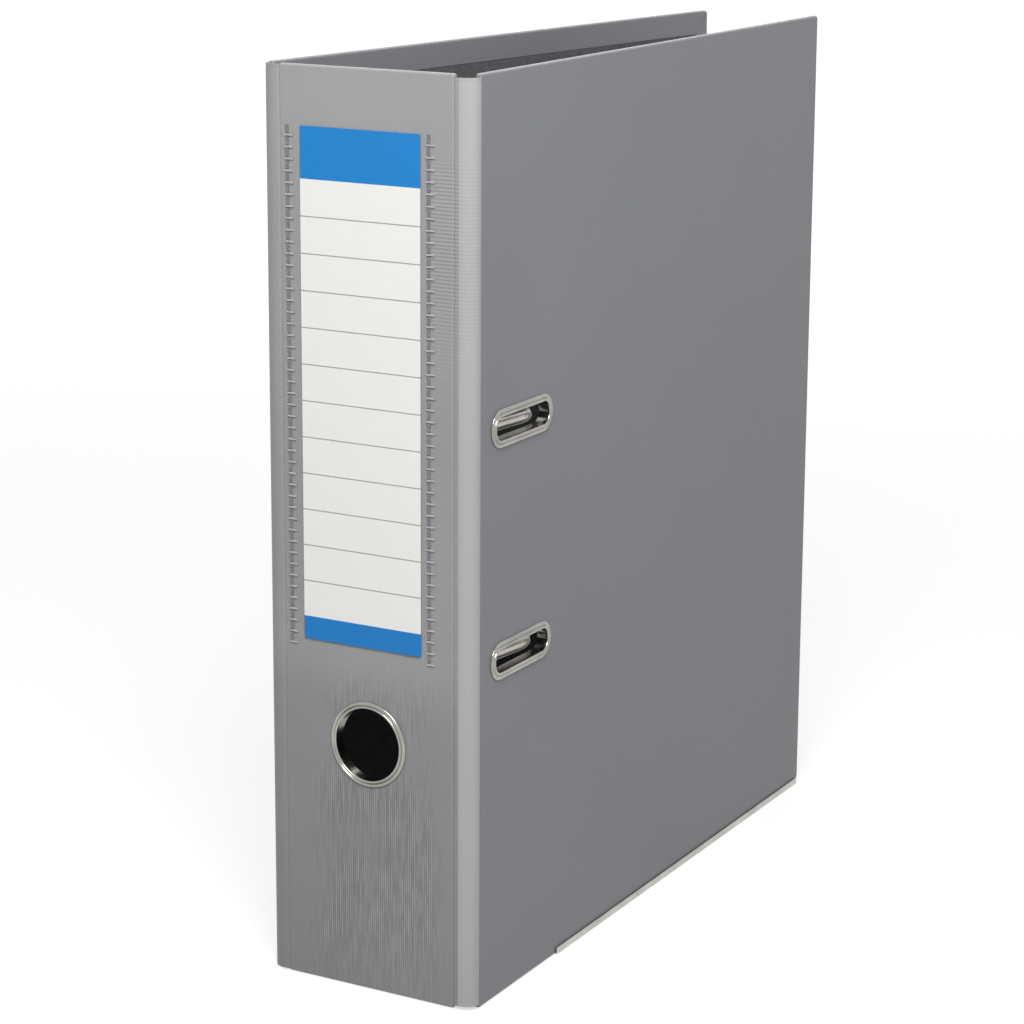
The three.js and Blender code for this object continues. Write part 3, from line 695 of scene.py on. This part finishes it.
# %% Hinge strips
STRIP_FILM = 0.5
FLAT_END = 35.9
ARC_WIDE = 5.6
ARC_DEEP = 4.5
ARC_POINTS = 12
ASIDE = 1000.0
WELD_FROM_END = 1.2
WELD_SIDE = 0.3
WELD_PRESS = (0.997, 0.96, 1.0)


def hinge_profile():
    """Points across the strip, from under the spine board's round edge to under the cover's."""
    start = [(33.75, 0.42), (34.1, 0.16), (34.6, 0.02), (35.2, 0.0)]
    angles = [math.radians(90 * i / ARC_POINTS) for i in range(ARC_POINTS + 1)]
    arc = [(FLAT_END + ARC_WIDE * math.sin(a), ARC_DEEP * (1 - math.cos(a))) for a in angles]
    return [*start, *arc, (41.42, 4.85), (41.12, 5.25)]


def hinge_strip(name, side, foot, top):
    profile = hinge_profile()
    across = len(profile) - 1
    bpy.ops.object.select_all(action="DESELECT")
    bpy.ops.mesh.primitive_grid_add(
        x_subdivisions=across, y_subdivisions=48, size=1,
        location=(0, 0, (foot + top) / 2 * MM), rotation=(math.radians(90), 0, 0))
    strip = bpy.context.object
    strip.name = name
    strip.scale = (across * MM, (top - foot) * MM, 1)
    bpy.ops.object.transform_apply(location=True, rotation=True, scale=True)
    with editing(strip):
        for column, (x, y) in enumerate(profile):
            here = column - across / 2
            select("VERT", lambda at, n: abs(at.x - here) < 0.01 and abs(at.y) < 1e-4)
            move(x=ASIDE + side * x - here, y=y)
        bpy.ops.mesh.select_all(action="SELECT")
        move(x=-ASIDE)
        for weld in (foot + WELD_FROM_END, top - WELD_FROM_END):
            for z in (weld - WELD_SIDE, weld, weld + WELD_SIDE):
                cut_line((0, 0, z), (0, 0, 1))
        bpy.ops.mesh.select_all(action="SELECT")
        bpy.ops.mesh.normals_make_consistent(inside=False)
        for weld in (foot + WELD_FROM_END, top - WELD_FROM_END):
            select("VERT", lambda at, n: abs(at.z - weld) < 0.05)
            bpy.ops.transform.resize(value=WELD_PRESS, center_override=(0, 3 * MM, 0))
    return strip


def outwards(strip):
    """True if the sheet's faces look away from the case."""
    facing = sum(face.normal.y * face.area for face in strip.data.polygons)
    return facing < 0


def bend_between(strip, spine_first, body_a, body_b, side):
    """Puts the strip's place into its mesh."""
    near_spine = SPINE_PLACE + Vector((side * 34.4, 0.0, HEIGHT / 2))
    near_cover = SPINE_PLACE + Vector((side * 41.5, 4.6, HEIGHT / 2))
    start, end = (near_spine, near_cover) if spine_first else (near_cover, near_spine)
    start * MM
    end * MM
    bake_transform(strip)


STRIPS = (
    (1, "front_hinge_foil", "front_hinge_strip", ("spine_case", "front_case"), 1.2, hinge_foil),
    (-1, "rear_hinge_foil", "rear_hinge_strip", ("rear_case", "spine_case"), 0.4, spine_foil),
)
for side, name, node, bodies, gap, foil in STRIPS:
    strip = hinge_strip(name, side, gap, HEIGHT - gap)
    if not outwards(strip):
        with editing(strip):
            bpy.ops.mesh.select_all(action="SELECT")
            bpy.ops.mesh.flip_normals()
    finish_with(strip, "SOLIDIFY", thickness=STRIP_FILM * MM, offset=-1.0)
    place(strip, IN_SPINE)
    smooth(strip, 50.0)
    strip.data.materials.append(spine_foil)
    strip.data.materials.append(foil)
    with editing(strip):
        select("FACE", lambda at, n: abs(at.x - SPINE_PLACE.x) > FLAT_END)
        strip.active_material_index = 1
        bpy.ops.object.material_slot_assign()
    bend_between(strip, bodies[0] == "spine_case", *bodies, side)
    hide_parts(node)
    print(name, "bends between", bodies[0], "and", bodies[1])

# %% [markdown]
# ## Rings
# A ring is pressed from sheet: a rolled lip and a sloping flange outside, a short barrel through
# the board, and a narrow clinched flange inside. It is drawn as a potter would: start from the
# circle of the hole, then extrude and widen or deepen it, step by step, until the last circle
# meets the first.

# %% Rings
RING_METAL = 0.5
RING_GAP = 0.3
STACK = 2.7
BARREL_TOP = 0.2
CLINCH = 0.6


def ring_steps(hole, flange):
    """Radius and depth below the board's outside face at each step of the section."""
    back = STACK + RING_GAP
    crown = [
        (0.0, -0.45), (0.03, -0.74), (0.1, -0.93), (0.2, -1.0), (0.3, -0.93), (0.37, -0.74),
        (0.41, -0.48), (0.46, -0.42), (0.51, -0.48), (0.56, -0.7), (0.64, -0.8), (0.76, -0.77),
        (0.9, -0.6), (0.98, -0.42), (1.0, -0.3), (0.96, -0.2), (0.7, -0.2),
    ]
    return [
        *((hole + share * flange, depth) for share, depth in crown),
        (hole + RING_METAL, -0.3), (hole + RING_METAL, back), (hole + CLINCH * flange, back),
        (hole + CLINCH * flange, back + RING_METAL), (hole, back + RING_METAL), (hole, BARREL_TOP),
    ]


def ring(name, hole, flange, rounds, facing):
    bpy.ops.object.select_all(action="DESELECT")
    bpy.ops.mesh.primitive_circle_add(
        vertices=rounds, radius=hole * MM, fill_type="NOTHING",
        rotation=(0, 0, math.pi / rounds))
    made = bpy.context.object
    made.name = name
    bpy.ops.object.transform_apply(location=True, rotation=True, scale=True)
    radius, depth = hole, BARREL_TOP
    with editing(made):
        bpy.ops.mesh.select_all(action="SELECT")
        move(z=-BARREL_TOP)
        for next_radius, next_depth in ring_steps(hole, flange):
            bpy.ops.mesh.extrude_edges_move()
            share = next_radius / radius
            bpy.ops.transform.resize(value=(share, share, 1.0), center_override=(0, 0, 0))
            move(z=depth - next_depth)
            radius, depth = next_radius, next_depth
        bpy.ops.mesh.select_all(action="SELECT")
        bpy.ops.mesh.remove_doubles(threshold=0.005 * MM)
        bpy.ops.mesh.normals_make_consistent(inside=False)
    place(made, facing)
    return made


FACE_FRONT = Matrix.Rotation(math.radians(90), 4, "X")
FACE_SIDE = Matrix.Rotation(math.radians(90), 4, "Y")
FINGER_INSIDE, FINGER_FLANGE = 12.7, 2.4
SLOT_INSIDE, SLOT_FLANGE = 3.9, 2.7

finger = ring("finger_ring_nickel", FINGER_INSIDE, FINGER_FLANGE, 96, FACE_FRONT)
place(finger, IN_SPINE @ Matrix.Translation(Vector((0, 0, FINGER_HEIGHT)) * MM))
smooth(finger, 40.0)
hand_over(finger, ring_nickel, "spine_case", "nickel", "finger_ring")

for level, slot_z in SLOT_PLACES.items():
    made = ring("slot_ring_nickel_" + level, SLOT_INSIDE, SLOT_FLANGE, 48, FACE_SIDE)
    with editing(made):
        pull_apart(0.0, (SLOT_LENGTH - SLOT_HEIGHT) / 2)
    place(made, IN_FRONT @ Matrix.Translation(Vector((0, SLOT_MIDDLE, slot_z)) * MM))
    smooth(made, 40.0)
    hand_over(made, ring_nickel, "front_case", "nickel", "slot_ring_" + level)

# %% [markdown]
# ## Label card
# The card is thin and stiff, with corners that are just broken. It lies a little off the
# spine, so that it throws the fine shadow that a real one has.

# %% Label card
LABEL_LEFT = -25.5
LABEL_RIGHT = 21.5
CARD_FACE, CARD_BACK = -0.58, -0.3

card_corners = (LABEL_LEFT, CARD_FACE, LABEL_BOTTOM), (LABEL_RIGHT, CARD_BACK, LABEL_TOP)
card = block("label_card_print", *card_corners)
with editing(card):
    select("EDGE", lambda at, n: abs(n.y) > 0.9)
    bpy.ops.mesh.bevel(offset=0.4 * MM, segments=3, affect="EDGES")
    bpy.ops.mesh.select_all(action="DESELECT")
    bpy.ops.mesh.edges_select_sharp(sharpness=math.radians(60))
    bpy.ops.mesh.bevel(offset=0.06 * MM, segments=2, affect="EDGES")
place(card, IN_SPINE)
smooth(card)
hand_over(card, label_print, "spine_case", "label_card", "label_card")

# %% [markdown]
# ## Pocket
# The film lies flat on the foil where it is welded, at both sides and below, and rises over the
# card. So it is a flat sheet, cut along the foot and the top of that rise, whose middle is moved
# out. It stays open at the top, where the card goes in.

# %% Pocket film
POCKET_LEFT = LABEL_LEFT - 7.5
POCKET_RIGHT = LABEL_RIGHT + 6.0
POCKET_FOOT = LABEL_BOTTOM - 3.5
FILM_FACE, FILM_BACK = -0.22, -0.08
RISE = 0.6
SLOPE_FOOT, SLOPE_TOP = 1.3, 0.5


def over_card(at, normal):
    reach = SLOPE_TOP + 0.1
    return LABEL_LEFT - reach < at.x < LABEL_RIGHT + reach and at.z > LABEL_BOTTOM - reach


film_corners = (POCKET_LEFT, FILM_FACE, POCKET_FOOT), (POCKET_RIGHT, FILM_BACK, LABEL_TOP)
pocket = block("pocket_film", *film_corners)
with editing(pocket):
    for x in (LABEL_LEFT - SLOPE_FOOT, LABEL_LEFT - SLOPE_TOP,
              LABEL_RIGHT + SLOPE_TOP, LABEL_RIGHT + SLOPE_FOOT):
        cut_line((x, 0, 0), (1, 0, 0))
    for z in (LABEL_BOTTOM - SLOPE_FOOT, LABEL_BOTTOM - SLOPE_TOP):
        cut_line((0, 0, z), (0, 0, 1))
    select("VERT", over_card)
    move(y=-RISE)
place(pocket, IN_SPINE)
smooth(pocket, 50.0)
hand_over(pocket, clear_film, "spine_case", "clear_film", "label_pocket")

# %% [markdown]
# ## Welds of the pocket
# A weld bar presses a ladder into the film: light rungs, and between them pressed fields, which
# are darker because the film is clear there and the foil is in the shade of the rungs. The rungs'
# light colour is painted light and the fields' dark colour is painted shade: two copies of one
# weld finish. One rung and its field are modelled, and an Array modifier repeats them up the seam.

# %% Welds of the pocket
WELD_PITCH = 3.95
WELD_COUNT = 45
RUNG_HEIGHT, RUNG_OUT = 0.6, 0.46
FIELD_LEFT, FIELD_RIGHT, FIELD_LOW, FIELD_HIGH, FIELD_OUT = 0.15, 1.45, 0.9, 3.7, 0.27
SEAMS = (("pocket_weld_left", -31.6, -28.4), ("pocket_weld_right", 23.7, 26.9))


def pad(name, left, right, low, high, out, finish):
    """A small block that sits in the film and stands out mm before the spine."""
    made = block(name, (left, -out, low), (right, -0.15, high))
    with editing(made):
        select("EDGE", lambda at, n: at.y < -0.2)
        bpy.ops.mesh.bevel(offset=0.05 * MM, segments=2, affect="EDGES")
    made.data.materials.append(finish)
    return made


def weld_seam(name, left, right):
    foot = POCKET_FOOT + 1.0
    rung = pad(name, left, right, foot, foot + RUNG_HEIGHT, RUNG_OUT, raised_weld_painted_light)
    field = pad("field", left + FIELD_LEFT, left + FIELD_RIGHT, foot + FIELD_LOW,
                foot + FIELD_HIGH, FIELD_OUT, pressed_weld_painted_shade)
    only(rung)
    field.select_set(True)
    bpy.ops.object.join()
    finish_with(rung, "ARRAY", count=WELD_COUNT, use_relative_offset=False,
                use_constant_offset=True, constant_offset_displace=(0, 0, WELD_PITCH * MM))
    place(rung, IN_SPINE)
    smooth(rung, 50.0)
    return rung


for name, left, right in SEAMS:
    seam = weld_seam(name, left, right)
    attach(seam, "spine_case")
    print(name, "has", WELD_COUNT, "rungs")

# %% [markdown]
# ## Mechanism
# The mechanism's solids already have their real shapes, but as loose flat triangles. A copy
# of each is merged, its flat areas are joined into single faces, and its edges are broken, as
# tumbling does with pressed parts, so that every edge catches a thin line of light. The bent
# wire is round all over, so it has no edge to break.


# %% Polished copies of the metal pieces
def polished(node, body, material, edge, angle=38.0):
    """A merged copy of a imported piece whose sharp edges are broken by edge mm."""
    source = frame["nodes"][node]
    made = source.copy()
    made.data = source.data.copy()
    made.parent = None
    made.name = node + "_polished"
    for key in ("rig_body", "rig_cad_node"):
        if key in made:
            del made[key]
    bpy.context.scene.collection.objects.link(made)
    with editing(made):
        bpy.ops.mesh.select_all(action="SELECT")
        bpy.ops.mesh.remove_doubles(threshold=0.001 * MM)
        bpy.ops.mesh.dissolve_limited(angle_limit=math.radians(0.5))
    if edge:
        finish_with(made, "BEVEL", width=edge * MM, segments=2, limit_method="ANGLE",
                    angle_limit=math.radians(angle), use_clamp_overlap=True)
    smooth(made, angle)
    hand_over(made, material, body, "nickel", node)


MECHANISM = (
    ("base_plate", "rear_case", drawn_nickel, 0.18),
    ("post_upper", "rear_case", ring_nickel, 0.12),
    ("post_lower", "rear_case", ring_nickel, 0.12),
    ("lever_pin", "rear_case", ring_nickel, 0.12),
    ("arch_wire", "arches", wire_nickel, 0.0),
    ("lever", "lever_arm", drawn_nickel, 0.15),
    ("roller_pin", "lever_arm", ring_nickel, 0.12),
    ("lever_roller", "roller", ring_nickel, 0.2),
    ("paper_clamp", "clamp", drawn_nickel, 0.2),
    ("front_edge_strip", "front_case", drawn_nickel, 0.12),
    ("rear_edge_strip", "rear_case", drawn_nickel, 0.12),
    *((f"rivet_{i}", "rear_case", ring_nickel, 0.1) for i in (1, 2, 3, 4)),
)
for node, body, material, edge in MECHANISM:
    polished(node, body, material, edge)

# %% [markdown]
# ## Linings
# The lining sheets are flat and square-cut in reality too, so the plain solids stay, and
# only take the paper.

# %% Linings
for node in ("front_lining", "rear_lining", "spine_lining"):
    sheet = frame["nodes"][node]
    sheet.data.materials.clear()
    sheet.data.materials.append(lining_paper)
    print(node, "keeps its solid")

# %% [markdown]
# ## Studio
# The file stands on a plain white floor under soft light. The floor and the world look white to
# the camera, and to the rays that metal reflects and film lets through, while the object is lit
# by a weaker world and three soft lamps, so that a colour comes out about as it is written. The
# floor's extra brightness is added to its paint, so the file's shadow still shows.


# %% Floor and world
FLOOR_GREY = (0.42, 0.42, 0.42, 1.0)


def when_seen(tree, unseen, seen):
    """One strength for the rays that show a thing, and another for those that only light."""
    rays = tree.nodes.new("ShaderNodeLightPath")
    shown = rays.outputs["Is Camera Ray"]
    for kind in ("Is Glossy Ray", "Is Transmission Ray"):
        either = tree.nodes.new("ShaderNodeMath")
        either.operation = "MAXIMUM"
        tree.links.new(shown, either.inputs[0])
        tree.links.new(rays.outputs[kind], either.inputs[1])
        shown = either.outputs[0]
    level = tree.nodes.new("ShaderNodeMapRange")
    level.inputs["To Min"].default_value = unseen
    level.inputs["To Max"].default_value = seen
    tree.links.new(shown, level.inputs["Value"])
    return level.outputs[0]


def white_stage(near_glow, far_glow):
    """A floor whose glow grows from near the file to far away, where the lamps reach it less."""
    bpy.ops.object.select_all(action="DESELECT")
    bpy.ops.mesh.primitive_plane_add(size=14, location=(0, 0, -0.0002))
    floor = bpy.context.object
    floor.name = "floor"
    paint = Finish("floor_paint", Base_Color=FLOOR_GREY, Roughness=0.9, Specular_IOR_Level=0.0)
    centre = {0: paint.object_place}
    away = paint.node("ShaderNodeVectorMath", {"operation": "LENGTH"}, centre, 1)
    glow = near_glow + away.rise(0.3, 2.5) * (far_glow - near_glow)
    paint.drive("Emission Color", paint.blend(glow, (0, 0, 0, 1), (1, 1, 1, 1)))
    paint.tree.links.new(when_seen(paint.tree, 0.0, 1.0), paint.shader.inputs["Emission Strength"])
    floor.data.materials.append(paint.material)


def white_world(strength):
    world = bpy.data.worlds.new("studio")
    bpy.context.scene.world = world
    world.use_nodes = True
    tree = world.node_tree
    background = tree.nodes["Background"]
    background.inputs["Color"].default_value = (1, 1, 1, 1)
    tree.links.new(when_seen(tree, strength, 1.0), background.inputs["Strength"])


white_stage(0.64, 0.9)
white_world(0.4)
print("stage made: a floor, and a world that lights with a strength of 0.4")

# %% [markdown]
# ## Lamps
# Three soft lamps. The key lamp stands high in front of the spine and to the right, and makes
# the spine's upper end the lightest. A wide one hangs overhead, and a wide one behind shines
# into the case.


# %% Lamps
def softbox(name, place_at, aim, size, power):
    data = bpy.data.lights.new(name, "AREA")
    data.shape = "RECTANGLE"
    data.size, data.size_y = size
    data.energy = power
    lamp = bpy.data.objects.new(name, data)
    bpy.context.scene.collection.objects.link(lamp)
    lamp.location = place_at
    lamp.rotation_euler = (Vector(aim) - Vector(place_at)).to_track_quat("-Z", "Y").to_euler()
    print(name, "at", place_at, "with", power, "W")


softbox("key_lamp", (0.4, -0.72, 0.95), (0.0, -0.1, 0.25), (0.5, 0.5), 11.0)
softbox("top_lamp", (0.1, 0.3, 2.0), (0.0, 0.0, 0.2), (1.6, 1.6), 4.0)
softbox("back_lamp", (-0.6, 1.7, 1.0), (0.0, 0.0, 0.16), (1.4, 1.2), 5.0)

# %% [markdown]
# ## Camera
# The picture is taken from the front right and a little above, with a long lens. The place, the
# angles and the lens come from fitting the known corners of the case to the photograph.

# %% Camera
CAMERA_PLACE = Vector((561.48, -992.43, 413.4)) * MM
YAW, PITCH, ROLL = (math.radians(angle) for angle in (30.717, 13.417, 0.305))
FOCAL_PIXELS, PICTURE_PIXELS = 3127.0, 1024.0
SENSOR = 36.0

camera_data = bpy.data.cameras.new("camera")
camera_data.sensor_width = SENSOR
camera_data.lens = SENSOR * FOCAL_PIXELS / PICTURE_PIXELS
camera = bpy.data.objects.new("camera", camera_data)
bpy.context.scene.collection.objects.link(camera)
turn = Matrix.Rotation(YAW, 4, "Z") @ Matrix.Rotation(math.pi / 2 - PITCH, 4, "X")
turn = turn @ Matrix.Rotation(ROLL, 4, "Z")
camera.matrix_world = Matrix.Translation(CAMERA_PLACE) @ turn
bpy.context.scene.camera = camera
bpy.context.scene.view_settings.view_transform = "Standard"
print("lens in mm:", round(camera_data.lens, 1))
